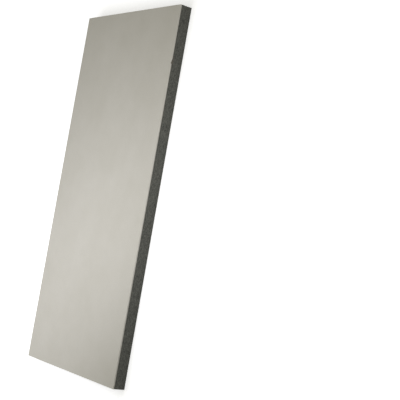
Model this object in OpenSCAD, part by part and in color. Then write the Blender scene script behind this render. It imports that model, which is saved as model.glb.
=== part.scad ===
// Insulated drywall sheet: a plasterboard with tapered, paper-wrapped long edges,
// bonded over its whole back to a cut slab of grey bead foam.
// It lies on its foam back with the paper face up.
// X runs across the sheet, Y along it and Z through its thickness.
// The origin is at the middle of the foam's back.

/* [Sheet] */
// Width of the sheet, from one long edge to the other
sheet_w = 1200; // [400:10:1250]
// Length of the sheet, from one cut end to the other
sheet_l = 2600; // [600:10:3600]

/* [Plasterboard] */
// Thickness of the plasterboard away from its tapered edges
plaster_t = 12.5; // [9.5:0.5:25]
// Width of the tapered band along each long edge
taper_w = 55; // [30:1:80]
// How far the face drops at the outer end of the taper
taper_d = 1.5; // [0.6:0.1:3]
// Radius where the taper blends into the flat face
shoulder_r = 300; // [50:10:400]
// Radius of the paper fold on the face side of a long edge
face_fold_r = 2; // [0.5:0.1:3]
// Radius of the paper fold on the back of a long edge
back_fold_r = 1; // [0.5:0.1:2]

/* [Insulation] */
// Thickness of the foam slab
foam_t = 80; // [20:5:200]

/* [Hidden] */
$fa = 0.5;
$fs = 0.1;
half_w = sheet_w / 2;
// How far an arc stands past the straight sides that it meets, so that it cuts them cleanly
arc_overlap = 0.002;
// Growth of the waste at a corner, about its arc's centre, that takes it clear of the outline
waste_growth = 1.5;

// Corners of the plasterboard's section, anticlockwise from the back of its right edge
section_corners = [
    [half_w, 0],
    [half_w, plaster_t - taper_d],
    [half_w - taper_w, plaster_t],
    [taper_w - half_w, plaster_t],
    [-half_w, plaster_t - taper_d],
    [-half_w, 0]
];
section_radii = [back_fold_r, face_fold_r, shoulder_r, shoulder_r, face_fold_r, back_fold_r];

function unit(v) = v / norm(v);

// What a corner between two straight sides loses when it is rounded
module corner_waste(before, tip, after, radius) {
    back = unit(before - tip);
    ahead = unit(after - tip);
    half_angle = acos(back * ahead) / 2;
    reach = radius / tan(half_angle);
    centre = tip + unit(back + ahead) * radius / sin(half_angle);
    kite = [tip + back * reach, tip, tip + ahead * reach];
    difference() {
        polygon(concat([centre], [for (point = kite) centre + (point - centre) * waste_growth]));
        translate(centre) circle(r = radius + arc_overlap);
    }
}

// A convex outline with each corner rounded to its own radius
module rounded_outline(corners, radii) {
    count = len(corners);
    difference() {
        polygon(corners);
        for (i = [0 : count - 1])
            corner_waste(corners[(i + count - 1) % count], corners[i], corners[(i + 1) % count], radii[i]);
    }
}

// Gypsum core in its paper: one pressed strip of this section, sawn to length
module plasterboard() {
    color("#c8c5bc")
        translate([0, sheet_l / 2, foam_t])
            rotate([90, 0, 0])
                linear_extrude(height = sheet_l)
                    rounded_outline(section_corners, section_radii);
}

// Foam slab cut square, flush with the plasterboard on all four sides
module insulation_slab() {
    color("#555650")
        translate([-half_w, -sheet_l / 2, 0])
            cube([sheet_w, sheet_l, foam_t]);
}

plasterboard();
insulation_slab();
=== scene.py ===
# %% [markdown]
# # An insulated drywall sheet
#
# The real object is a drywall board glued over its whole back to a thick slab of graphite-grey
# bead foam. It lies on the foam with its paper face up. The measured solids come in as a fixed
# frame. Every piece made here is in metres in that same frame: X runs across the sheet, Y along
# it and Z up through its thickness. So nothing has to be moved into place afterwards.

# %% Load the frame and take its measures
import math

import bmesh
import bpy
import numpy as np
from mathutils import Color, Matrix, Vector, geometry


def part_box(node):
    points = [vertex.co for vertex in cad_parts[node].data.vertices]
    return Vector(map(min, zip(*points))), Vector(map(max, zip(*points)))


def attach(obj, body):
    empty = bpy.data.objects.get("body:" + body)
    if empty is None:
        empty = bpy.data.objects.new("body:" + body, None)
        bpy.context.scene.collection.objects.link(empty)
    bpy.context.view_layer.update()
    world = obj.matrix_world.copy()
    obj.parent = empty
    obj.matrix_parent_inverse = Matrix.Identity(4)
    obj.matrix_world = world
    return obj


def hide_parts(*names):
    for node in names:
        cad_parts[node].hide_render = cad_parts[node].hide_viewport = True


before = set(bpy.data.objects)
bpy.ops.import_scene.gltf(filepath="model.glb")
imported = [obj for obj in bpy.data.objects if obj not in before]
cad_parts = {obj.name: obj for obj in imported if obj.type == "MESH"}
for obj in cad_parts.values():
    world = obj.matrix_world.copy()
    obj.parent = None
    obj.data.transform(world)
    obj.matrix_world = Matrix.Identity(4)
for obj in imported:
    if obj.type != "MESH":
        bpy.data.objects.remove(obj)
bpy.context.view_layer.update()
board_low, board_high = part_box("plasterboard")
foam_low, foam_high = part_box("insulation_slab")
MM = 0.001
HALF_WIDTH = board_high.x
HALF_LENGTH = board_high.y
JOINT_Z = board_low.z
FACE_Z = board_high.z
print("measured solids:", sorted(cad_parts))
print(f"{2 * HALF_WIDTH:.3f} by {2 * HALF_LENGTH:.3f} m, joint at {JOINT_Z:.4f}, face at {FACE_Z:.4f}")

# %% [markdown]
# ## The camera
#
# The picture is taken from beyond the right long edge, about 32 degrees above the floor, with
# the sheet's length upright in the image. A camera could be turned by three angles, but those
# are hard to read. Here it gets a place, a point to aim at and the direction that shows as
# upright. One small function turns those into a matrix, and the lamps use it as well.

# %% Camera
CAMERA_PLACE = Vector((6.176, -0.311, 3.852))
CAMERA_AIM = Vector((1.185, 0.003, FACE_Z))
CAMERA_UPRIGHT = Vector((-0.064, 0.984, 0.167))
LENS_MM = 91.1
SENSOR_MM = 36


def facing(place, aim, upright):
    """Matrix of a camera or lamp at place that looks at aim."""
    ahead = (aim - place).normalized()
    right = ahead.cross(upright).normalized()
    top = right.cross(ahead)
    return Matrix.Translation(place) @ Matrix((right, top, -ahead)).transposed().to_4x4()


def new_object(name, data):
    """An object of the scene with the given data."""
    made = bpy.data.objects.new(name, data)
    bpy.context.scene.collection.objects.link(made)
    return made


camera_data = bpy.data.cameras.new("photo_camera")
camera_data.lens = LENS_MM
camera_data.sensor_width = SENSOR_MM
camera = new_object("photo_camera", camera_data)
camera.matrix_world = facing(CAMERA_PLACE, CAMERA_AIM, CAMERA_UPRIGHT)
bpy.context.scene.camera = camera
print("camera distance to the sheet's middle:", round(CAMERA_PLACE.length, 3))

# %% [markdown]
# ## Studio lamps
#
# The face is brightest below its middle and falls off towards its upper end and its lower right
# corner. An even light would lose that. So one long strip lamp hangs askew beyond the lower left
# corner and gives the slope, and a small low lamp lights the foam's right side. The strip is a
# touch cool and the sky, which comes next, a touch warm, so the dimmer end of the paper looks
# creamier than the bright part. Together they are set so that a colour renders about as it is
# written.

# %% Lamps
STRIP_PLACE = Vector((-2.57, -2.26, FACE_Z + 2.53))
STRIP_AHEAD = Vector((-0.61, 0.31, -1.0))
STRIP_TURN = math.radians(34.5)
STRIP_SIZE = (9.0, 1.6)
STRIP_WATTS = 88.5
STRIP_TINT = (0.92, 0.93, 1.0)
SIDE_PLACE = Vector((1.95, 0.42, 0.5))
SIDE_AIM = Vector((HALF_WIDTH, 0.42, 0.03))
SIDE_SIZE = (1.2, 0.7)
SIDE_WATTS = 5.6
SIDE_TINT = (1.0, 0.98, 0.95)
UP = Vector((0, 0, 1))


def soft_lamp(name, place, aim, upright, size, watts, tint):
    """A rectangular lamp that lights the sheet without showing itself."""
    lamp = bpy.data.lights.new(name, "AREA")
    lamp.shape = "RECTANGLE"
    lamp.size, lamp.size_y = size
    lamp.energy = watts
    lamp.color = tint
    holder = new_object(name, lamp)
    holder.matrix_world = facing(place, aim, upright)
    holder.visible_camera = False


strip_across = Vector((-math.sin(STRIP_TURN), math.cos(STRIP_TURN), 0))
strip_aim = STRIP_PLACE + STRIP_AHEAD
soft_lamp("strip_lamp", STRIP_PLACE, strip_aim, strip_across, STRIP_SIZE, STRIP_WATTS, STRIP_TINT)
soft_lamp("side_lamp", SIDE_PLACE, SIDE_AIM, UP, SIDE_SIZE, SIDE_WATTS, SIDE_TINT)

# %% [markdown]
# ## Short words for shader nodes
#
# The sky, the floor and every finish are trees of nodes. Making each node, setting its values
# and linking its sockets takes many lines, so one helper does all three: a value that is itself
# a socket becomes a link. The other helpers each stand for one kind of node that is used often.

# %% Node helpers
def add(tree, kind, inputs=None, **settings):
    """One shader node, with numbers, colours or other nodes' sockets at its inputs."""
    node = tree.nodes.new("ShaderNode" + kind)
    for name, value in settings.items():
        setattr(node, name, value)
    for name, value in (inputs or {}).items():
        if isinstance(value, bpy.types.NodeSocket):
            tree.links.new(value, node.inputs[name])
        else:
            node.inputs[name].default_value = value
    return node


def blend(tree, share, first, second):
    """The colour that goes from first to second as share goes from 0 to 1."""
    # A Mix node has sockets for each kind of value: 6 and 7 take colours, and 2 gives one
    return add(tree, "Mix", {0: share, 6: first, 7: second}, data_type="RGBA").outputs[2]


def calc(tree, operation, *values):
    """The result of one Math node."""
    return add(tree, "Math", dict(enumerate(values)), operation=operation).outputs[0]


def ramp(tree, value, low, high, from_value=0.0, to_value=1.0):
    """Value stretched from the span low to high onto another span, and held at its ends."""
    spans = {"From Min": low, "From Max": high, "To Min": from_value, "To Max": to_value}
    return add(tree, "MapRange", {"Value": value, **spans}, clamp=True).outputs["Result"]


print("node helpers: add, blend, calc and ramp")

# %% [markdown]
# ## Sky and floor
#
# The sky fills in the light that the lamps leave out. The background has to be white, but a sky
# that bright would drown the lamps. A Light Path node tells apart the rays that look straight at
# the sky, and only those get the white.

# %% Sky
SKY_FILL = (0.292, 0.286, 0.247, 1.0)
WHITE = (1.0, 1.0, 1.0, 1.0)


def seen_directly(tree):
    """1 where a ray comes from the camera, a reflection or a clear material, and otherwise 0."""
    path = add(tree, "LightPath").outputs
    reflected = calc(tree, "MAXIMUM", path["Is Glossy Ray"], path["Is Transmission Ray"])
    return calc(tree, "MAXIMUM", path["Is Camera Ray"], reflected)


sky = bpy.data.worlds.new("studio_sky")
sky.use_nodes = True
sky_tree = sky.node_tree
sky_colour = blend(sky_tree, seen_directly(sky_tree), SKY_FILL, WHITE)
sky_tree.links.new(sky_colour, sky_tree.nodes["Background"].inputs["Color"])
bpy.context.scene.world = sky
bpy.context.scene.view_settings.view_transform = "Standard"
print("sky fill:", SKY_FILL[:3])

# %% [markdown]
# The floor is a plain pale plane. It could be lit until it is white, but then the sheet would get
# too much light. Instead it glows a little to the camera, so that it comes out white where the
# light on it is even, while the sheet's own soft shadow stays. The glow is weaker near the sheet,
# where the shadow falls, and full a step away from it.

# %% Floor
FLOOR_REACH = 40.0
CORNER_SIGNS = [(-1, -1), (1, -1), (1, 1), (-1, 1)]

floor_mesh = bpy.data.meshes.new("floor")
floor_corners = [(x * FLOOR_REACH, y * FLOOR_REACH, 0) for x, y in CORNER_SIGNS]
floor_mesh.from_pydata(floor_corners, [], [(0, 1, 2, 3)])
new_object("floor", floor_mesh)
print("floor reaches", FLOOR_REACH, "m each way")

# %% Paint of the floor
FLOOR_COLOUR = (0.8, 0.8, 0.8, 1.0)
GLOW_NEAR = 0.6
GLOW_SPREAD = 0.8


def new_material(name):
    """A material with its shader, and the sheet's own coordinates for its textures."""
    material = bpy.data.materials.new(name)
    material.use_nodes = True
    tree = material.node_tree
    shader = tree.nodes["Principled BSDF"]
    place = add(tree, "TexCoord").outputs["Object"]
    return material, tree, shader, place


def vector_calc(tree, operation, *values):
    """The outputs of one Vector Math node."""
    return add(tree, "VectorMath", dict(enumerate(values)), operation=operation).outputs


floor_paint, tree, unused_shader, place = new_material("floor_paint")
tree.nodes.remove(unused_shader)
from_middle = vector_calc(tree, "ABSOLUTE", place)[0]
past_sheet = vector_calc(tree, "SUBTRACT", from_middle, (HALF_WIDTH, HALF_LENGTH, 0))[0]
outside = vector_calc(tree, "MAXIMUM", past_sheet, (0, 0, 0))[0]
distance = vector_calc(tree, "LENGTH", outside)["Value"]
strength = ramp(tree, distance, 0, GLOW_SPREAD, GLOW_NEAR)
glow = calc(tree, "MULTIPLY", seen_directly(tree), strength)
matt = add(tree, "BsdfDiffuse", {"Color": FLOOR_COLOUR})
shine = add(tree, "Emission", {"Strength": glow})
both = add(tree, "AddShader", {0: matt.outputs[0], 1: shine.outputs[0]})
tree.links.new(both.outputs[0], tree.nodes["Material Output"].inputs["Surface"])
floor_mesh.materials.append(floor_paint)
print("the glow is full", GLOW_SPREAD, "m from the sheet")

# %% [markdown]
# ## Effects that several finishes share
#
# Paper and gypsum both drift between two tones in soft patches, and paper, gypsum and foam all
# have a fine grit. Each effect is built once as a shader group and placed in each finish with
# values of its own. A group gives out only colours and values, and the shader itself stays in
# the material.

# %% Cloudy tone
CLOUD_SPAN = (0.3, 0.7)


def new_group(name, inputs, outputs):
    """An empty shader group with named sockets, and the sockets to wire inside it."""
    tree = bpy.data.node_groups.new(name, "ShaderNodeTree")
    for direction, sockets in (("INPUT", inputs), ("OUTPUT", outputs)):
        for label, kind in sockets.items():
            tree.interface.new_socket(label, in_out=direction, socket_type="NodeSocket" + kind)
    entry = tree.nodes.new("NodeGroupInput")
    leave = tree.nodes.new("NodeGroupOutput")
    return tree, entry.outputs, leave.inputs


def noise(tree, place, scale, detail, roughness=0.5):
    """The value of a Noise texture, from 0 to 1."""
    values = {"Vector": place, "Scale": scale, "Detail": detail, "Roughness": roughness}
    return add(tree, "TexNoise", values).outputs["Fac"]


def build_cloudy_tone():
    """Two tones that drift into each other in soft patches."""
    sockets = {"Vector": "Vector", "Patch Size": "Float", "First Tone": "Color", "Second Tone": "Color"}
    tree, given, result = new_group("cloudy_tone", sockets, {"Tone": "Color", "Share": "Float"})
    scale = calc(tree, "DIVIDE", 1.0, given["Patch Size"])
    cloud = noise(tree, given["Vector"], scale, detail=4.0, roughness=0.55)
    share = ramp(tree, cloud, *CLOUD_SPAN)
    tree.links.new(blend(tree, share, given["First Tone"], given["Second Tone"]), result["Tone"])
    tree.links.new(share, result["Share"])
    return tree


def cloud_at(tree, place, patch, first, second):
    """The outputs of the cloudy tone, placed in a finish."""
    values = {"Vector": place, "Patch Size": patch, "First Tone": first, "Second Tone": second}
    return add(tree, "Group", values, node_tree=cloudy_tone).outputs


cloudy_tone = build_cloudy_tone()
print("shared group:", cloudy_tone.name)

# %% Spots and fine grit
SPOT_CORE = 0.4
WIDE_CELLS = 0.35
WIDE_PORES = {"radius": 0.24, "chance": 0.45}
FINE_CELLS = 0.8
FINE_PORES = {"radius": 0.3, "chance": 0.5}
FINE_DEPTH = 0.6


def strewn_spots(tree, place, scale, radius, chance):
    """Soft round spots. Radius is a share of a texture's cell, and chance a share of its cells."""
    cells = add(tree, "TexVoronoi", {"Vector": place, "Scale": scale}).outputs
    spot = ramp(tree, cells["Distance"], SPOT_CORE * radius, radius, 1.0, 0.0)
    luck = add(tree, "SeparateColor", {0: cells["Color"]}).outputs[0]
    return calc(tree, "MULTIPLY", spot, calc(tree, "LESS_THAN", luck, chance))


def build_fine_grit():
    """A grainy height, and a mask of the small open pores in it."""
    sockets = {"Vector": "Vector", "Grain Size": "Float"}
    tree, given, result = new_group("fine_grit", sockets, {"Height": "Float", "Pores": "Float"})
    scale = calc(tree, "DIVIDE", 1.0, given["Grain Size"])
    grain = noise(tree, given["Vector"], scale, detail=3.0, roughness=0.6)
    wide_scale = calc(tree, "MULTIPLY", scale, WIDE_CELLS)
    fine_scale = calc(tree, "MULTIPLY", scale, FINE_CELLS)
    wide = strewn_spots(tree, given["Vector"], wide_scale, **WIDE_PORES)
    fine = strewn_spots(tree, given["Vector"], fine_scale, **FINE_PORES)
    pores = calc(tree, "MAXIMUM", wide, calc(tree, "MULTIPLY", fine, FINE_DEPTH))
    tree.links.new(calc(tree, "SUBTRACT", grain, pores), result["Height"])
    tree.links.new(pores, result["Pores"])
    return tree


def grit_at(tree, place, grain):
    """The outputs of the fine grit, placed in a finish."""
    return add(tree, "Group", {"Vector": place, "Grain Size": grain}, node_tree=fine_grit).outputs


fine_grit = build_fine_grit()
print("shared group:", fine_grit.name)

# %% [markdown]
# Every finish ends in the same way, so one helper links it to its shader. What is the same all
# over a finish, such as its gloss, is set on the shader itself and has no node. The other helper
# draws a texture out in one direction, as fibres and streaks need it.

# %% End of a finish
def wire_up(tree, shader, colour, roughness, height, relief, gloss):
    """Link a finish to its shader, with its height as a bump of the given strength and distance."""
    bump = add(tree, "Bump", {"Height": height, **relief})
    tree.links.new(colour, shader.inputs["Base Color"])
    tree.links.new(roughness, shader.inputs["Roughness"])
    tree.links.new(bump.outputs[0], shader.inputs["Normal"])
    shader.inputs["Specular IOR Level"].default_value = gloss


def stretched(tree, place, stretch):
    """Coordinates that draw a texture out where stretch is below 1."""
    return add(tree, "Mapping", {"Vector": place, "Scale": stretch}).outputs[0]


print("finish helpers: wire_up and stretched")

# %% [markdown]
# ## Lining paper
# The long edges are painted a touch lighter and cooler than the face: painted light where they face
# sideways.
#
# The face is covered with a smooth pale paper that wraps round the long edges. One flat colour
# would look like plastic. Paper is made on a belt, so its fibres lie mostly along the sheet, and
# a stretched noise gives those. A scatter of small flecks is typical of recycled pulp. Where the
# paper is cut across at the ends, its plies show browner. Low on the edges, where the wrap ends
# at the glue, it turns dark. The mesh carries a mask, torn, that shows where the edge is damaged:
# a frayed pale rim, and inside it brown inner ply with spots of bare gypsum.
#
# Colours are written as they show on a screen, with values up to 255, and turned into the linear
# values that shaders work in.

# %% Paper colours
def srgb(red, green, blue):
    """A screen colour as the linear colour that a shader takes."""
    shown = Color((red / 255, green / 255, blue / 255))
    return (*shown.from_srgb_to_scene_linear(), 1.0)


PAPER_LIGHT = srgb(207, 204, 195)
PAPER_WARM = srgb(202, 199, 189)
PAPER_FLECK = srgb(166, 158, 144)
EDGE_PAINTED_LIGHT = srgb(207, 205, 199)
PAPER_CUT = srgb(166, 157, 141)
GLUE_BROWN = srgb(80, 75, 68)
TORN_RIM = srgb(190, 183, 169)
TORN_BROWN = srgb(104, 98, 89)
TORN_CORE = srgb(172, 167, 156)
print("paper in linear light:", [round(value, 3) for value in PAPER_LIGHT[:3]])

# %% Fibres and flecks
PAPER_PATCH = 0.22
FIBRE_SCALE = 1100
FIBRE_STRETCH = (1.0, 0.15, 1.0)
FIBRE_SPAN = (0.42, 0.7)
FIBRE_TONE = 0.14
FLECK_SCALE = 330
FLECK_STRETCH = (1.0, 0.5, 1.0)
FLECKS = {"radius": 0.2, "chance": 0.3}
FLECK_TONE = 0.5


def plain_paper(tree, place):
    """The colour of whole paper, and the fibres in it as a value from 0 to 1."""
    fibre = noise(tree, stretched(tree, place, FIBRE_STRETCH), FIBRE_SCALE, detail=3.0)
    fleck = strewn_spots(tree, stretched(tree, place, FLECK_STRETCH), FLECK_SCALE, **FLECKS)
    colour = cloud_at(tree, place, PAPER_PATCH, PAPER_LIGHT, PAPER_WARM)["Tone"]
    colour = blend(tree, calc(tree, "MULTIPLY", fleck, FLECK_TONE), colour, PAPER_FLECK)
    return blend(tree, ramp(tree, fibre, *FIBRE_SPAN, 0.0, FIBRE_TONE), colour, PAPER_FLECK), fibre


print("fibres of about", round(1000 / FIBRE_SCALE / FIBRE_STRETCH[1], 1), "mm")

# %% Edges and torn places
EDGE_SPAN = (0.3, 0.9)
EDGE_LIGHT_STRENGTH = 0.8
CUT_SPAN = (0.5, 0.9)
CUT_TONE = 0.9
GLUE_TOP = JOINT_Z + 3.2 * MM
GLUE_FULL = JOINT_Z + 1.2 * MM
GLUE_TONE = 0.9
TORN_PATCH = 6 * MM
TORN_RIM_SPAN = (0.05, 0.3)
TORN_PLY_SPAN = (0.35, 0.7)


def toned_edges(tree, place, colour):
    """Paper with painted light on the long edges, browner plies on cut ends, and dark at the glue."""
    facing_way = add(tree, "SeparateXYZ", {0: add(tree, "NewGeometry").outputs["Normal"]}).outputs
    # Painted light: the paper facing sideways on the long edges is made a touch lighter and cooler
    edge = ramp(tree, calc(tree, "ABSOLUTE", facing_way["X"]), *EDGE_SPAN, 0.0, EDGE_LIGHT_STRENGTH)
    colour = blend(tree, edge, colour, EDGE_PAINTED_LIGHT)
    cut = ramp(tree, calc(tree, "ABSOLUTE", facing_way["Y"]), *CUT_SPAN, 0.0, CUT_TONE)
    colour = blend(tree, cut, colour, PAPER_CUT)
    height = add(tree, "SeparateXYZ", {0: place}).outputs["Z"]
    return blend(tree, ramp(tree, height, GLUE_FULL, GLUE_TOP, GLUE_TONE, 0.0), colour, GLUE_BROWN)


def torn_paper(tree, place, colour):
    """Paper that turns into a pale rim and then into bare ply as the mask, torn, grows."""
    torn_mask = add(tree, "Attribute", attribute_name="torn").outputs["Fac"]
    bare = cloud_at(tree, place, TORN_PATCH, TORN_BROWN, TORN_CORE)["Tone"]
    colour = blend(tree, ramp(tree, torn_mask, *TORN_RIM_SPAN), colour, TORN_RIM)
    return blend(tree, ramp(tree, torn_mask, *TORN_PLY_SPAN), colour, bare)


print("glue shows up to", round((GLUE_TOP - JOINT_Z) / MM, 1), "mm above the joint")

# %% Paper finish
PAPER_GRAIN = 1.2 * MM
PAPER_GRIT = 0.3
PAPER_RELIEF = {"Strength": 0.12, "Distance": 0.1 * MM}
ROUGHNESS_SPAN = (0.2, 0.8)
PAPER_ROUGHNESS = (0.78, 0.92)
MATT_GLOSS = 0.2


def lining_paper():
    """Matt paper with lengthwise fibres, flecks, toned edges and torn places."""
    material, tree, shader, place = new_material("lining_paper")
    whole, fibre = plain_paper(tree, place)
    colour = torn_paper(tree, place, toned_edges(tree, place, whole))
    roughness = ramp(tree, fibre, *ROUGHNESS_SPAN, *PAPER_ROUGHNESS)
    grit = grit_at(tree, place, PAPER_GRAIN)["Height"]
    relief = calc(tree, "MULTIPLY_ADD", grit, PAPER_GRIT, fibre)
    wire_up(tree, shader, colour, roughness, relief, PAPER_RELIEF, MATT_GLOSS)
    return material


paper = lining_paper()
print("finish:", paper.name, "with", len(paper.node_tree.nodes), "nodes")

# %% [markdown]
# ## Gypsum core
#
# The two ends of the board are sawn, so the chalky core shows there between the paper plies.
# It is whiter than the paper, quite matt, and full of pores. Those are too small to be worth
# points in the mesh, so the shared grit makes them as dents in the bump, and their darker grey
# is painted shade in the holes.

# %% Gypsum finish
GYPSUM_LIGHT = srgb(238, 236, 230)
GYPSUM_DARK = srgb(224, 221, 212)
GYPSUM_PORE_SHADE = srgb(176, 172, 163)
GYPSUM_PATCH = 20 * MM
GYPSUM_GRAIN = 0.9 * MM
GYPSUM_RELIEF = {"Strength": 0.5, "Distance": 0.4 * MM}
GYPSUM_ROUGHNESS = (0.88, 0.98)


def sawn_gypsum():
    """Chalky core with pores, which are darkened as painted shade."""
    material, tree, shader, place = new_material("sawn_gypsum")
    cloud = cloud_at(tree, place, GYPSUM_PATCH, GYPSUM_LIGHT, GYPSUM_DARK)
    grit = grit_at(tree, place, GYPSUM_GRAIN)
    # The pores are painted a darker grey as shade in the holes
    colour = blend(tree, grit["Pores"], cloud["Tone"], GYPSUM_PORE_SHADE)
    roughness = ramp(tree, cloud["Share"], 0.0, 1.0, *GYPSUM_ROUGHNESS)
    wire_up(tree, shader, colour, roughness, grit["Height"], GYPSUM_RELIEF, MATT_GLOSS)
    return material


gypsum = sawn_gypsum()
print("finish:", gypsum.name, "with", len(gypsum.node_tree.nodes), "nodes")

# %% [markdown]
# ## Grey bead foam
#
# The foam is a mass of small beads, blown up with steam until they press into each other. A cut
# through it is a mosaic: each bead has its own grey, and a fine dark seam runs round it. That
# seam is partly the real line between beads and partly painted shade, as in the crevice where
# the mesh presses the seam in. The long sides and ends carry that mosaic in their mesh, so their
# finish reads the bead's tone and its seams from the mesh. The mesh also tells where brown glue
# was smeared below the joint.
# The big back has no mosaic, and takes its beads from a texture of cells instead. One group turns
# these into colour, roughness and height for both finishes. It adds darker and paler patches that
# lie level, long faint streaks from the hot wire, and a little pale dust.

# %% Tones of the foam
PATCH_SCALE = 60.0
PATCH_STRETCH = (0.8, 0.8, 2.4)
PATCH_SPAN = (0.32, 0.68)
PATCH_TONE = (-0.04, 0.49)
WIRE_SCALE = 120.0
WIRE_STRETCH = (0.06, 0.06, 1.0)
WIRE_TONE = 0.1
OWN_TONE = 0.45


def foam_tone(tree, place, own):
    """A bead's own tone with the patches and streaks over it, and the patches alone."""
    patch = noise(tree, stretched(tree, place, PATCH_STRETCH), PATCH_SCALE, detail=3.0)
    streak = noise(tree, stretched(tree, place, WIRE_STRETCH), WIRE_SCALE, detail=2.0)
    mottle = ramp(tree, patch, *PATCH_SPAN, *PATCH_TONE)
    drift = calc(tree, "MULTIPLY_ADD", streak, WIRE_TONE, mottle)
    return calc(tree, "MULTIPLY_ADD", own, OWN_TONE, drift), patch


print("patches of about", round(1000 / PATCH_SCALE / PATCH_STRETCH[0]), "mm")

# %% Skin of a bead
BEAD_DARK = srgb(52, 53, 49)
BEAD_LIGHT = srgb(112, 113, 106)
SEAM_LINE_AND_SHADE = srgb(44, 44, 41)
DUST_PALE = srgb(150, 149, 143)
SMEAR_BROWN = srgb(105, 97, 88)
FOAM_GRAIN = 1.1 * MM
FOAM_GRIT = 0.4
SEAM_SPAN = (0.74, 1.0)
SEAM_TONE = 0.75
RAGGED_SPAN = (0.4, 0.6)
RAGGED_TONE = (0.4, 1.0)
DUST_SPAN = (0.62, 0.78)
DUST_TONE = 0.22
FOAM_ROUGHNESS = (0.72, 0.58)


def build_bead_skin():
    """The look of a cut bead from its tone, from how near its seam is, and from glue on it. The dark
    seam is partly painted shade.
    """
    sockets = {"Vector": "Vector", "Tone": "Float", "Seam": "Float", "Smear": "Float"}
    results = {"Colour": "Color", "Roughness": "Float", "Height": "Float"}
    tree, given, result = new_group("bead_skin", sockets, results)
    grit = grit_at(tree, given["Vector"], FOAM_GRAIN)["Height"]
    tone, patch = foam_tone(tree, given["Vector"], given["Tone"])
    colour = blend(tree, tone, BEAD_DARK, BEAD_LIGHT)
    line = ramp(tree, given["Seam"], *SEAM_SPAN, 0.0, SEAM_TONE)
    # The dark seam is partly the real line between beads and partly painted shade in its crevice
    colour = blend(tree, line, colour, SEAM_LINE_AND_SHADE)
    ragged = ramp(tree, patch, *RAGGED_SPAN, *RAGGED_TONE)
    colour = blend(tree, calc(tree, "MULTIPLY", given["Smear"], ragged), colour, SMEAR_BROWN)
    dust = ramp(tree, grit, *DUST_SPAN, 0.0, DUST_TONE)
    height = calc(tree, "MULTIPLY_ADD", grit, FOAM_GRIT, calc(tree, "SUBTRACT", 1.0, line))
    tree.links.new(blend(tree, dust, colour, DUST_PALE), result["Colour"])
    tree.links.new(ramp(tree, tone, 0.0, 1.0, *FOAM_ROUGHNESS), result["Roughness"])
    tree.links.new(height, result["Height"])
    return tree


bead_skin = build_bead_skin()
print("shared group:", bead_skin.name, "with", len(bead_skin.nodes), "nodes")

# %% Foam finishes
BEAD = 5.3 * MM
BACK_SEAM = 0.3
FOAM_RELIEF = {"Strength": 0.3, "Distance": 0.3 * MM}
FOAM_GLOSS = 0.35


def beads_of_mesh(tree, place):
    """Tone, seam and smear as the mosaic mesh carries them, whatever the place."""
    masks = {"Tone": "bead_tone_and_pit_shade", "Seam": "bead_seam", "Smear": "glue_smear"}
    readers = {label: add(tree, "Attribute", attribute_name=mask) for label, mask in masks.items()}
    return {label: reader.outputs["Fac"] for label, reader in readers.items()}


def beads_of_texture(tree, place):
    """Tone and seam from a texture's cells of a bead's size."""
    cells = add(tree, "TexVoronoi", {"Vector": place, "Scale": 1 / BEAD})
    borders = add(tree, "TexVoronoi", {"Vector": place, "Scale": 1 / BEAD}, feature="DISTANCE_TO_EDGE")
    tone = add(tree, "SeparateColor", {0: cells.outputs["Color"]}).outputs[0]
    seam = ramp(tree, borders.outputs["Distance"], 0.0, BACK_SEAM, 1.0, 0.0)
    return {"Tone": tone, "Seam": seam, "Smear": 0.0}


def bead_foam(name, beads):
    """Foam whose beads come from the given function of the tree and the place."""
    material, tree, shader, place = new_material(name)
    skin = add(tree, "Group", {"Vector": place, **beads(tree, place)}, node_tree=bead_skin).outputs
    wire_up(tree, shader, skin["Colour"], skin["Roughness"], skin["Height"], FOAM_RELIEF, FOAM_GLOSS)
    return material


foam_sides = bead_foam("foam_sides", beads_of_mesh)
foam_back = bead_foam("foam_back", beads_of_texture)
print("finishes:", foam_sides.name, foam_back.name)

# %% [markdown]
# ## The board's section
#
# The board is pressed between belts, with its long edges pressed thinner so that joint tape and
# filler can lie flush there later. Seen from an end, the face is flat, slopes down over the last
# 55 mm, and folds round to the edge. The measured solid has that section too, but no points
# between its ends for wear and damage to move. So the section is made again here, as columns
# across the sheet. Each column has a point on the back and one on the face, so that the sawn ends
# can be filled between them with no loose points.

# %% Section columns
TAPER_WIDTH = 55 * MM
TAPER_DEPTH = 1.5 * MM
SHOULDER_SHARE = 0.15
FACE_FOLD = 2 * MM
BACK_FOLD = 1 * MM
FLAT_COLUMNS = 40
TAPER_COLUMNS = 9
FOLD_COLUMNS = 6


def taper_drop(x):
    """How far the face lies below its flat middle at a distance x from the centre line."""
    share = np.clip((x - (HALF_WIDTH - TAPER_WIDTH)) / TAPER_WIDTH, 0, 1)
    curve = share**2 / (2 * SHOULDER_SHARE)
    eased = np.where(share < SHOULDER_SHARE, curve, share - SHOULDER_SHARE / 2)
    return TAPER_DEPTH * eased / (1 - SHOULDER_SHARE / 2)


def mirrored(right_half, sign):
    """A row of values for the whole width from those of its right half."""
    return np.concatenate((sign * right_half[:0:-1], right_half))


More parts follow.
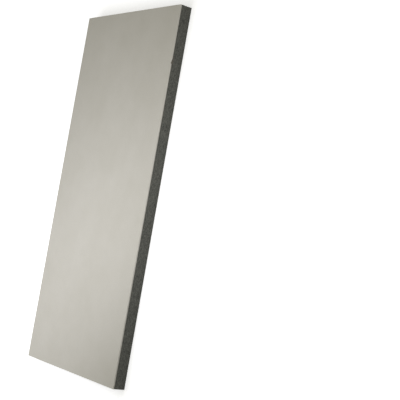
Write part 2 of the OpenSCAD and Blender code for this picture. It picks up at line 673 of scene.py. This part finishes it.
flat_x = np.linspace(0, HALF_WIDTH - TAPER_WIDTH, FLAT_COLUMNS)
taper_x = np.linspace(HALF_WIDTH - TAPER_WIDTH, HALF_WIDTH - FACE_FOLD, TAPER_COLUMNS)[1:]
upper_x = np.concatenate((flat_x, taper_x))
turn = np.linspace(0, math.pi / 2, FOLD_COLUMNS + 1)[1:]
upper_z = FACE_Z - taper_drop(upper_x)
face_x = mirrored(np.concatenate((upper_x, upper_x[-1] + FACE_FOLD * np.sin(turn))), -1)
face_z = mirrored(np.concatenate((upper_z, upper_z[-1] - FACE_FOLD * (1 - np.cos(turn)))), 1)
back_x = mirrored(np.concatenate((upper_x, HALF_WIDTH - BACK_FOLD * (1 - np.sin(turn)))), -1)
back_z = mirrored(np.concatenate((0 * upper_x, BACK_FOLD * (1 - np.cos(turn)))), 1) + JOINT_Z
print(len(face_x), "columns; edge thickness", round(1000 * (upper_z[-1] - JOINT_Z), 2), "mm")

# %% [markdown]
# ## Skin of the board
#
# The board is the skin of a box that is divided into columns across, stations along and rows up.
# Only points on the skin get a number. The six sides are cut from the same numbering, so they
# share their border points and the mesh is closed. Stations lie close together where the edge is
# damaged and far apart elsewhere.

# %% Stations and rows
TEAR_HIGH = 0.934
TEAR_DEEP = 0.8965
TEAR_LOW = 0.8905
TEAR_MARGIN = 8 * MM
TEAR_STEP = 1.2 * MM
COARSE_STATIONS = 110
CORE_ROWS = 13
PLY = 0.4 * MM
PLY_STEP = 0.15 * MM

coarse = np.linspace(-HALF_LENGTH, HALF_LENGTH, COARSE_STATIONS)
fine = np.arange(TEAR_LOW - TEAR_MARGIN, TEAR_HIGH + TEAR_MARGIN, TEAR_STEP)
stations = np.sort(np.concatenate((coarse[(coarse < fine[0]) | (coarse > fine[-1])], fine)))
ply_share = PLY / (FACE_Z - JOINT_Z)
core_share = (PLY + PLY_STEP) / (FACE_Z - JOINT_Z)
core_rows = np.linspace(core_share, 1 - core_share, CORE_ROWS)
rows = np.r_[0, ply_share, core_rows, 1 - ply_share, 1]
print(len(stations), "stations along and", len(rows), "rows up")

# %% Points and sides of the skin
on_skin = np.zeros((len(face_x), len(stations), len(rows)), bool)
for axis in range(on_skin.ndim):
    for side in (0, -1):
        np.moveaxis(on_skin, axis, 0)[side] = True
number = np.full(on_skin.shape, -1)
number[on_skin] = np.arange(on_skin.sum())
column, station, row = np.argwhere(on_skin).T
board = np.column_stack((
    back_x[column] + (face_x - back_x)[column] * rows[row],
    stations[station],
    back_z[column] + (face_z - back_z)[column] * rows[row],
))
board_sides = {
    "lower_end": number[:, 0, :],
    "upper_end": number[:, -1, ::-1],
    "left_edge": number[0, ::-1, :],
    "right_edge": number[-1, :, :],
    "back": number[:, ::-1, 0],
    "face": number[:, :, -1],
}
print(len(board), "points on the board's skin")

# %% [markdown]
# ## Wear and damage
#
# A real board is never a perfect prism. Its long edges wander by some tenths of a millimetre,
# the face is very slightly wavy, and the core is sawn back a little behind the paper plies. All
# of that is chance, but the draws start from a fixed seed, so the board is the same in each run.

# %% Worn edges and wavy face
SEED = 12
WANDER = 0.35 * MM
WANDER_MEAN = 0.6
WANDER_SWING = 0.4
WANDER_WAVES = (6, 0.9)
EDGE_POWER = 8
WAVE = 0.12 * MM
WAVE_SWING = 0.5
WAVES_ALONG = (4, 1.6)
WAVES_ACROSS = (3, 1.1)
SHORTEST = 0.25
draw = np.random.default_rng(SEED)


def wander(along, waves, longest):
    """A smooth random line of about unit height: a few sines with chance lengths and starts."""
    lengths = longest * draw.uniform(SHORTEST, 1.0, waves)
    starts = draw.uniform(0, 2 * math.pi, waves)
    return np.sin(2 * math.pi * along[:, None] / lengths + starts).sum(axis=1) / math.sqrt(waves)


edge_share = np.clip(np.abs(board[:, 0]) / HALF_WIDTH, 0, 1) ** EDGE_POWER
for sign in (-1, 1):
    here = np.sign(board[:, 0]) == sign
    swing = WANDER_SWING * wander(board[here, 1], *WANDER_WAVES)
    inward = WANDER * np.maximum(WANDER_MEAN + swing, 0)
    board[here, 0] -= sign * inward * edge_share[here]
on_face = row == len(rows) - 1
wave_along = wander(board[on_face, 1], *WAVES_ALONG)
wave_across = wander(board[on_face, 0], *WAVES_ACROSS)
board[on_face, 2] -= WAVE * (1 + WAVE_SWING * wave_along * wave_across)
print("the right edge is worn by up to", round(inward.max() / MM, 2), "mm")

# %% Sawn ends
SAWN_BACK = 0.6 * MM
SAW_SPREAD = (0.6, 1.4)
WRAP_COLUMNS = 4
PLY_ROWS = 2

on_end = (station == 0) | (station == len(stations) - 1)
inside_wrap = (column >= WRAP_COLUMNS) & (column < len(face_x) - WRAP_COLUMNS)
inside_plies = (row >= PLY_ROWS) & (row < len(rows) - PLY_ROWS)
sawn = on_end & inside_wrap & inside_plies
board[sawn, 1] -= np.sign(board[sawn, 1]) * SAWN_BACK * draw.uniform(*SAW_SPREAD, sawn.sum())
print("points sawn back at the ends:", sawn.sum())

# %% [markdown]
# One place on the right long edge is torn: a wedge of the wrapped paper is missing above the
# glue, widening slowly towards the middle of the sheet and ending abruptly. A painted spot would
# look flat from the side, so the points there are pushed in. Each station has its own chance
# depths at a few levels, with even slopes between them.

# %% Torn edge
TEAR_HEIGHT = 10.5 * MM
TEAR_DEPTH = 4.5 * MM
TEAR_SPREAD = (0.7, 1.1)
TEAR_LEVELS = 8
TEAR_BLUR = 2.0 * MM
TEAR_RAGGED = 0.12
TEAR_WAVES = (5, 0.016)
TEAR_REACH = 14 * MM

tear_top = np.interp(board[:, 1], (TEAR_LOW, TEAR_DEEP, TEAR_HIGH), (0, TEAR_HEIGHT, 0))
tear_top *= 1 + TEAR_RAGGED * wander(board[:, 1], *TEAR_WAVES)
above_glue = board[:, 2] - JOINT_Z
near_edge = np.clip((board[:, 0] - (HALF_WIDTH - TEAR_REACH)) / TEAR_REACH, 0, 1)
torn = np.clip((tear_top - above_glue) / TEAR_BLUR, 0, 1) * (near_edge > 0)
chance_depths = TEAR_DEPTH * draw.uniform(*TEAR_SPREAD, (len(stations), TEAR_LEVELS))
levels = np.linspace(0, 1, TEAR_LEVELS)
tear_depth = np.array([np.interp(rows, levels, depths) for depths in chance_depths])
board[:, 0] -= torn * near_edge * tear_depth[station, row]
print("torn points:", (torn > 0.5).sum(), "between", TEAR_LOW, "and", TEAR_HIGH, "m along")

# %% [markdown]
# ## From arrays to a piece
#
# Both pieces have thousands of points in regular patterns. Numpy makes those faster than adding
# points one by one, so each piece is first worked out as arrays. One helper turns the arrays
# into an object, hands over its finishes and masks, and rounds the shading except at arrises.
#
# Programs that can't run shader trees show the finishes from pictures, which are painted through
# a flat map of the mesh. An automatic map gives hidden areas as much of the picture as the rest
# and leaves two pixels to a bead. So each piece brings its own map of rectangular patches, with
# more room for what shows. Sizes on the map are in pixels of that picture.

# %% Piece from arrays
ARRIS_ANGLE = math.radians(40)
MAP_NAME = "OFBake"


def make_piece(name, points, faces, finishes, finish_of_face, masks, places):
    """An object from arrays. A mask is a mesh domain and its values, and places are on the map."""
    mesh = bpy.data.meshes.new(name)
    mesh.from_pydata(points.tolist(), [], faces)
    for finish in finishes:
        mesh.materials.append(finish)
    mesh.polygons.foreach_set("material_index", np.asarray(finish_of_face, np.int32))
    mesh.shade_smooth()
    for label, (domain, values) in masks.items():
        mask = mesh.attributes.new(label, "FLOAT", domain)
        mask.data.foreach_set("value", np.asarray(values, np.float32))
    flat_map = mesh.uv_layers.new(name=MAP_NAME)
    flat_map.uv.foreach_set("vector", np.asarray(places, np.float32).ravel())
    mesh.set_sharp_from_angle(angle=ARRIS_ANGLE)
    mesh.update()
    return new_object(name, mesh)


print("the map of a piece is called", MAP_NAME)

# %% Map and volume
MAP_PIXELS = 1024
MAP_GAP = 5


def on_map(shares, left, bottom, width, height):
    """Places on the map from shares of a patch's width and height."""
    return (np.array((left, bottom)) + shares * (width, height)) / MAP_PIXELS


def enclosed_volume(piece):
    """Volume inside a closed mesh, positive when its faces look outward."""
    copy = bmesh.new()
    copy.from_mesh(piece.data)
    volume = copy.calc_volume(signed=True)
    copy.free()
    return volume


print("patches on the map are", MAP_GAP, "of", MAP_PIXELS, "pixels apart")

# %% [markdown]
# The quads of the board's six sides now become one mesh. On the two ends, the quads inside the
# plies are gypsum. Everything else is paper. On the map, the six sides stand next to each other.
# The face gets most of the width, the thin edges and ends get far more than their thickness, and
# the hidden back gets little.

# %% Grids of the sides
def grid_quads(grid):
    """The four corners of each cell in a grid of point numbers or of places."""
    corners = (grid[:-1, :-1], grid[1:, :-1], grid[1:, 1:], grid[:-1, 1:])
    return np.stack(corners, axis=2).reshape(-1, 4, *grid.shape[2:])


def grid_shares(points):
    """How far the points of a grid lie along its two directions, as shares of its length in each."""
    runs = []
    for axis in (0, 1):
        steps = np.linalg.norm(np.diff(points, axis=axis), axis=2).mean(axis=1 - axis)
        runs.append(np.r_[0, np.cumsum(steps)] / steps.sum())
    return np.stack(np.meshgrid(*runs, indexing="ij"), axis=2)


print("sides of the board:", list(board_sides))

# %% Board piece
PATCH_WIDTH = {"back": 30, "face": 700}
THIN_WIDTH = 64
PATCH_HEIGHT = MAP_PIXELS - 2 * MAP_GAP

board_faces = []
board_finish = []
board_places = []
patch_left = MAP_GAP
for side, numbers in board_sides.items():
    width = PATCH_WIDTH.get(side, THIN_WIDTH)
    shares = grid_shares(board[numbers])
    if side not in PATCH_WIDTH:
        # A thin side stands upright on the map
        shares = np.stack((1 - shares[..., 1], shares[..., 0]), axis=2)
    places = on_map(shares, patch_left, MAP_GAP, width, PATCH_HEIGHT)
    patch_left += width + MAP_GAP
    # Finish 0 is paper and 1 is gypsum
    finish = np.zeros(np.subtract(numbers.shape, 1), int)
    if side.endswith("end"):
        finish[WRAP_COLUMNS - 1:1 - WRAP_COLUMNS, PLY_ROWS - 1:1 - PLY_ROWS] = 1
    board_faces.extend(grid_quads(numbers).tolist())
    board_finish.extend(finish.ravel())
    board_places.append(grid_quads(places).reshape(-1, 2))
plasterboard = make_piece("plasterboard_sheet", board, board_faces, [paper, gypsum], board_finish,
                          {"torn": ("POINT", torn)}, np.concatenate(board_places))
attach(plasterboard, "root")
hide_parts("plasterboard")
print("plasterboard volume", round(1000 * enclosed_volume(plasterboard), 2), "litres")

# %% [markdown]
# ## Mosaic of beads round the foam
#
# A bump texture could hint at the beads, but it flattens at the arrises and is lost in a plain
# mesh. Here the four sides are unrolled into one long strip, as if the slab were wrapped in
# tape. Bead middles are strewn over the strip in loose rows. Some lie on the strip's lower and
# upper border and on the four upright arrises, so that those lines stay straight.

# %% Unrolled sides
FOAM_HEIGHT = foam_high.z - foam_low.z

slab_ring = np.array([*CORNER_SIGNS, CORNER_SIGNS[0]]) * (HALF_WIDTH, HALF_LENGTH)
side_length = np.linalg.norm(np.diff(slab_ring, axis=0), axis=1)
side_along = np.diff(slab_ring, axis=0) / side_length[:, None]
side_outward = np.column_stack((side_along[:, 1], -side_along[:, 0]))
side_beads = np.round(side_length / BEAD).astype(int)
arris_at = np.r_[0, np.cumsum(side_length)]
strip_length = arris_at[-1]
print("strip of", round(strip_length, 3), "m with", side_beads.sum(), "beads in a row")

# %% Lines and rows of beads
BEAD_ROWS = 17
ROW_SHIFT = 0.25
MIDDLE_SHIFT = 0.36 * BEAD
LINE_SHIFT = 0.28
ARRIS_GAP = 0.4 * BEAD


def strewn(start, length, count):
    """Places that part a line into uneven stretches."""
    return start + length * (np.arange(1, count) + LINE_SHIFT * draw.uniform(-1, 1, count - 1)) / count


def border_line(z):
    """Middles on the lower or upper border, once round the slab."""
    places = []
    for start, length, count in zip(arris_at, side_length, side_beads):
        places.extend((start, *strewn(start, length, count)))
    return np.column_stack((places, np.full(len(places), z)))


def side_rows(start, length, count):
    """Middles inside one side: rows that are half a bead out of step, shifted at random."""
    level = np.arange(1, BEAD_ROWS)[:, None]
    along = (np.arange(count) + 0.5 + ROW_SHIFT * (-1.0) ** level) * length / count
    up = FOAM_HEIGHT * level / BEAD_ROWS + 0 * along
    along += draw.uniform(-1, 1, along.shape) * MIDDLE_SHIFT
    up += draw.uniform(-1, 1, up.shape) * MIDDLE_SHIFT
    along = np.clip(along, ARRIS_GAP, length - ARRIS_GAP)
    up = np.clip(up, ARRIS_GAP, FOAM_HEIGHT - ARRIS_GAP)
    return np.column_stack((start + along.ravel(), up.ravel()))


print("rows of beads are", round(FOAM_HEIGHT / BEAD_ROWS / MM, 1), "mm apart")

# %% Bead middles
ARRIS_BEADS = 15

lower_line = border_line(0.0)
upper_line = border_line(FOAM_HEIGHT)
arrises = []
for place in arris_at[:-1]:
    heights = strewn(0, FOAM_HEIGHT, ARRIS_BEADS)
    arrises.append(np.column_stack((np.full(len(heights), place), heights)))
inner = [side_rows(*side) for side in zip(arris_at, side_length, side_beads)]
closing = np.concatenate((lower_line[:1], upper_line[:1], arrises[0])) + (strip_length, 0)
middles = np.concatenate((lower_line, upper_line, *arrises, *inner, closing))
print(len(middles), "bead middles")

# %% [markdown]
# Blender has no tool for a mosaic, but it has one that joins points into well-shaped triangles
# and keeps given edges. The borders and arrises are the edges to keep. The strip's last arris is
# the first one again, so its middles are sent home to those of the first.

# %% Edges to keep
line_count = len(lower_line)
arris_count = len(arrises[0])
on_lines = 2 * line_count + len(arrises) * arris_count
closing_first = len(middles) - len(closing)
side_first = np.r_[0, np.cumsum(side_beads)[:-1]]
chains = [
    np.r_[0:line_count, closing_first],
    np.r_[line_count:2 * line_count, closing_first + 1],
]
for arris, foot in enumerate(side_first):
    upright = 2 * line_count + arris * arris_count + np.arange(arris_count)
    chains.append(np.r_[foot, upright, line_count + foot])
last_upright = np.arange(closing_first + 2, len(middles))
chains.append(np.r_[closing_first, last_upright, closing_first + 1])
fixed_edges = np.concatenate([np.column_stack((chain[:-1], chain[1:])) for chain in chains])
home = np.arange(len(middles))
home[closing_first:] = np.r_[0, line_count, 2 * line_count + np.arange(arris_count)]
print(len(fixed_edges), "edges to keep in", len(chains), "chains")

# %% [markdown]
# Around each middle, the centres of its triangles are the corners of its bead. So the beads come
# out as uneven as they are in pressed foam.

# %% Triangles between the middles
INSIDE_ONLY = 1
SAME_POINT = 1e-7


def triangulated(flat_points, edges):
    """Triangles that join the points and keep the given edges, as numbers of the points."""
    flat = [Vector(point) for point in flat_points.tolist()]
    found = geometry.delaunay_2d_cdt(flat, edges.tolist(), [], INSIDE_ONLY, SAME_POINT)
    triangles, sources = found[2:4]
    source = np.array([numbers[0] for numbers in sources])
    return source[np.array(triangles)]


def pair_key(first, second):
    """One number for a pair of points, in whatever order."""
    return np.minimum(first, second) * len(middles) + np.maximum(first, second)


triangle = triangulated(middles, fixed_edges)
start = triangle.ravel()
end = np.roll(triangle, -1, axis=1).ravel()
owner = np.repeat(np.arange(len(triangle)), 3)
is_fixed = np.isin(pair_key(start, end), pair_key(*fixed_edges.T))
print(len(triangle), "triangles, with", is_fixed.sum(), "of their sides on fixed edges")

# %% [markdown]
# Every free side of a triangle leads to a neighbour. The bead at the side's start gets the small
# triangle from its middle to the two centres. A bead doesn't reach across a fixed edge, so that
# edge gets a halfway point, which the faces on both sides of it share.

# %% Faces of the beads
there = start * len(middles) + end
order = np.argsort(there)
back_again = np.searchsorted(there[order], end * len(middles) + start)
twin = order[np.minimum(back_again, len(order) - 1)]
corner_first = closing_first
half_first = corner_first + len(triangle)
fixed_key = pair_key(home[start], home[end])[is_fixed]
halves, half_of, half_number = np.unique(fixed_key, return_index=True, return_inverse=True)
half_place = (middles[start[is_fixed]] + middles[end[is_fixed]])[half_of] / 2
free = ~is_fixed
near_corner = corner_first + owner[free]
far_corner = corner_first + owner[twin[free]]
free_faces = np.column_stack((home[start[free]], far_corner, near_corner))
fixed_corner = corner_first + owner[is_fixed]
fixed_half = half_first + half_number
near_faces = np.column_stack((home[start[is_fixed]], fixed_half, fixed_corner))
far_faces = np.column_stack((fixed_half, home[end[is_fixed]], fixed_corner))
belt_faces = np.concatenate((free_faces, near_faces, far_faces))
belt_bead = np.concatenate((free_faces[:, 0], near_faces[:, 0], far_faces[:, 1]))
print(len(belt_faces), "triangles in the belt")

# %% [markdown]
# Each point of the belt is pressed in from the slab's outline: a bead's middle hardly, its seams
# a little more. At the four upright arrises a point is pressed in from both of the faces that
# meet there. About one bead in a hundred has been pulled out by the hot wire or knocked off,
# more of them along the borders and arrises. Such a bead leaves a pit, and the pit's tone is set
# near black as painted shade in the hole.

# %% Points of the belt
SEAM_DEPTH = (0.10 * MM, 0.40 * MM)
MIDDLE_DEPTH = (0.0, 0.10 * MM)
PIT_SHARE = 0.009
PIT_SHARE_AT_LINES = 0.03
PIT_DEPTH = (1.0 * MM, 2.2 * MM)
PIT_RIM = 0.8 * MM
PIT_SHADE_TONE = 0.05


def rolled_up(flat, depth):
    """Points on the slab's sides from their places on the strip and how far they are pressed in."""
    along = np.mod(flat[:, 0], strip_length)
    side = np.searchsorted(arris_at, along, side="right") - 1
    at_arris = along == arris_at[side]
    push = side_outward[side] + at_arris[:, None] * side_outward[side - 1]
    outline = slab_ring[side] + side_along[side] * (along - arris_at[side])[:, None]
    return np.column_stack((outline - push * depth[:, None], flat[:, 1]))


pit_chance = np.where(np.arange(closing_first) < on_lines, PIT_SHARE_AT_LINES, PIT_SHARE)
is_pit = draw.random(closing_first) < pit_chance
pit_depth = draw.uniform(*PIT_DEPTH, closing_first)
middle_depth = np.where(is_pit, pit_depth, draw.uniform(*MIDDLE_DEPTH, closing_first))
corner_depth = draw.uniform(*SEAM_DEPTH, len(triangle))
corner_depth = np.where(is_pit[home[triangle]].any(axis=1), PIT_RIM, corner_depth)
beside_pit = is_pit[halves // len(middles)] | is_pit[halves % len(middles)]
half_depth = np.where(beside_pit, PIT_RIM / 2, draw.uniform(*MIDDLE_DEPTH, len(halves)))
belt_flat = np.concatenate((middles[:closing_first], middles[triangle].mean(axis=1), half_place))
belt = rolled_up(belt_flat, np.concatenate((middle_depth, corner_depth, half_depth)))
# A pit's bead gets a near-black tone: painted shade in the hole, not a colour of the foam
tone_with_pit_shade = np.where(is_pit, PIT_SHADE_TONE, draw.random(closing_first))
bead_tone_and_pit_shade = tone_with_pit_shade[belt_bead]
bead_seam = np.ones(len(belt))
bead_seam[:closing_first] = 0
print("pits:", is_pit.sum(), "of", closing_first, "beads")

# %% [markdown]
# The glue was spread by roller, and here and there some was squeezed out and wiped down over the
# foam. The smears come from a chance line round the slab. One more lies under the torn edge.

# %% Glue smears below the joint
SMEAR_WAVES = (7, 0.6)
SMEAR_REACH = 14 * MM
SMEAR_START = 0.7
SMEAR_SHARE = 0.45
TEAR_SMEAR_LENGTH = 30 * MM

tear_middle = arris_at[1] + HALF_LENGTH + (TEAR_LOW + TEAR_HIGH) / 2
under_tear = np.exp(-(((belt_flat[:, 0] - tear_middle) / TEAR_SMEAR_LENGTH) ** 2))
squeezed = np.clip(wander(belt_flat[:, 0], *SMEAR_WAVES) - SMEAR_START, 0, 1)
below_joint = np.clip(1 - (FOAM_HEIGHT - belt_flat[:, 1]) / SMEAR_REACH, 0, 1)
glue_smear = np.clip(SMEAR_SHARE * squeezed + under_tear, 0, 1) * below_joint
print("smeared share of the belt:", round((glue_smear > 0.2).mean(), 3))

# %% [markdown]
# ## Back and top of the slab
#
# The belt is open below and above. The back was cut by a hot wire drawn through the block, which
# leaves long shallow waves. Triangles that keep the outline fill it and take in a loose grid of
# points for those waves. The top is glued to the board and hidden, so it gets few points.

# %% Filling a border
GRID_JITTER = 0.25


def border_loop(first):
    """The numbers of the belt's points round its lower or upper border."""
    here = first + np.arange(line_count)
    half = half_first + np.searchsorted(halves, pair_key(here, np.roll(here, -1)))
    return np.column_stack((here, half)).ravel()


def filled(border, spacing):
    """Triangles that fill a closed border, and the points inside it that they use."""
    lines = []
    for half in (HALF_WIDTH, HALF_LENGTH):
        lines.append(np.linspace(-half, half, round(2 * half / spacing) + 1)[1:-1])
    inside = np.stack(np.meshgrid(*lines), axis=2).reshape(-1, 2)
    inside += draw.uniform(-1, 1, inside.shape) * GRID_JITTER * spacing
    ring = np.arange(len(border))
    outline = np.column_stack((ring, np.roll(ring, -1)))
    return triangulated(np.concatenate((border, inside)), outline), inside


lower_loop = border_loop(0)
upper_loop = border_loop(line_count)
print(len(lower_loop), "points on each border")

# %% Back and top
BACK_SPACING = 20 * MM
TOP_SPACING = 100 * MM
WIRE_WAVE = 0.2 * MM
WIRE_WAVES_ALONG = (5, 0.5)
WIRE_WAVES_ACROSS = (3, 0.8)
WIRE_MEAN = 0.5
WIRE_SWING = 0.25
ACROSS_SHARE = 0.5

back_faces, back_inside = filled(belt[lower_loop, :2], BACK_SPACING)
top_faces, top_inside = filled(belt[upper_loop, :2], TOP_SPACING)
wire_along = wander(back_inside[:, 1], *WIRE_WAVES_ALONG)
wire_across = wander(back_inside[:, 0], *WIRE_WAVES_ACROSS)
waves = WIRE_MEAN + WIRE_SWING * (wire_along + ACROSS_SHARE * wire_across)
back_points = np.column_stack((back_inside, WIRE_WAVE * np.clip(waves, 0, 1)))
top_points = np.column_stack((top_inside, np.full(len(top_inside), foam_high.z)))
slab = np.concatenate((belt, back_points, top_points))
top_first = len(belt) + len(back_points)
back_numbers = np.concatenate((lower_loop, np.arange(len(belt), top_first)))
top_numbers = np.concatenate((upper_loop, np.arange(top_first, len(slab))))
back_faces = back_numbers[back_faces][:, ::-1]
top_faces = top_numbers[top_faces]
print(len(back_faces), "triangles in the back and", len(top_faces), "in the hidden top")

# %% [markdown]
# The belt is far too long and narrow for a square map, so it is cut into rows like lines of text.
# A triangle that crosses the end of a row goes with the row that holds its middle. The back takes
# the rest of the map, but for a narrow patch that is enough for the hidden top.

# %% Map of the foam
BELT_ROWS = 7
ROW_HEIGHT = 76
ROW_MARGIN = 8
ROW_STEP = ROW_HEIGHT + MAP_GAP
TOP_WIDTH = 20

along = belt_flat[belt_faces, 0]
up = belt_flat[belt_faces, 1] / FOAM_HEIGHT
goes_round = np.ptp(along, axis=1, keepdims=True) > strip_length / 2
along = np.where(goes_round & (along < strip_length / 2), along + strip_length, along)
in_rows = along * BELT_ROWS / strip_length
belt_row = np.floor(in_rows.mean(axis=1, keepdims=True))
belt_places = np.stack((
    ROW_MARGIN + (in_rows - belt_row) * (MAP_PIXELS - 2 * ROW_MARGIN),
    MAP_GAP + belt_row % BELT_ROWS * ROW_STEP + up * ROW_HEIGHT,
), axis=2) / MAP_PIXELS
rows_top = 2 * MAP_GAP + BELT_ROWS * ROW_STEP
patch_height = MAP_PIXELS - rows_top - MAP_GAP
back_left = TOP_WIDTH + 2 * MAP_GAP
back_width = MAP_PIXELS - back_left - MAP_GAP
slab_share = slab[:, :2] / (2 * HALF_WIDTH, 2 * HALF_LENGTH) + 0.5
back_places = on_map(slab_share[back_faces][..., ::-1], back_left, rows_top, back_width, patch_height)
top_places = on_map(slab_share[top_faces], MAP_GAP, rows_top, TOP_WIDTH, patch_height)
slab_places = np.concatenate((belt_places, back_places, top_places)).reshape(-1, 2)
print("pixels across a bead:", round(BEAD * BELT_ROWS * MAP_PIXELS / strip_length, 1))

# %% [markdown]
# The belt, back and top now become one closed slab. The sides take the finish that reads the
# mesh. The back and the hidden top take the one with beads from a texture.

# %% Foam piece
slab_faces = np.concatenate((belt_faces, back_faces, top_faces)).tolist()
plain_faces = np.zeros(len(back_faces) + len(top_faces))
plain_points = np.zeros(len(slab) - len(belt))
foam_masks = {
    "bead_tone_and_pit_shade": ("FACE", np.append(bead_tone_and_pit_shade, plain_faces)),
    "bead_seam": ("POINT", np.append(bead_seam, plain_points)),
    "glue_smear": ("POINT", np.append(glue_smear, plain_points)),
}
slab_finish = [0] * len(belt_faces) + [1] * len(plain_faces)
foam = make_piece("foam_slab", slab, slab_faces, [foam_sides, foam_back], slab_finish,
                  foam_masks, slab_places)
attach(foam, "root")
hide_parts("insulation_slab")
print("foam volume", round(1000 * enclosed_volume(foam), 1), "litres,", len(slab_faces), "triangles")
